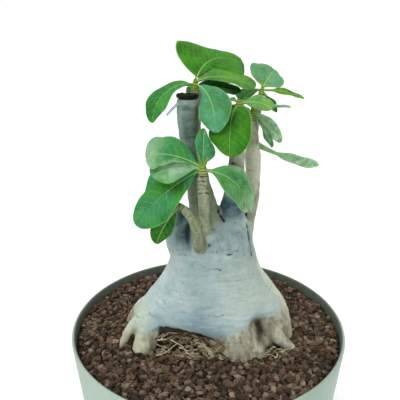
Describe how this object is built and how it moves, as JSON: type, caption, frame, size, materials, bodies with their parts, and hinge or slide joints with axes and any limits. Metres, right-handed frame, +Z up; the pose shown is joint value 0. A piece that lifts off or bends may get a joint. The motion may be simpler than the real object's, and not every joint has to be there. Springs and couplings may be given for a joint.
{
  "type": "potted desert rose plant",
  "caption": "Desert rose with a swollen caudex on spread feet, pruned trunks and leafy shoots, in a round tapered pot topped with lava gravel.",
  "frame": {"origin": "centre of the pot's underside, on the surface that the pot stands on", "axes": "+Z up, +X to the right and +Y away from the side that faces the viewer"},
  "size_m": [0.1998, 0.1998, 0.3379],
  "materials": {
    "pot_plastic": "satin pale celadon green, moulded",
    "potting_mix": "rough, crumbly",
    "lava_gravel": "rough porous grit",
    "bark": "smooth grey-green skin with beige scars and corky feet",
    "seal_paste": "dull black paste",
    "leaf": "leathery, softly glossy"
  },
  "bodies": {
    "root": {"pot": "pot_plastic", "potting_mix": "potting_mix", "lava_gravel": "lava_gravel", "caudex_and_stems": "bark", "wound_seal": "seal_paste", "shoot_front": "leaf", "shoot_low_left": "leaf", "shoot_crown": "leaf", "shoot_middle": "leaf", "shoot_right": "leaf", "shoot_right_branch": "leaf", "shoot_back_twig": "leaf"}
  },
  "joints": []
}
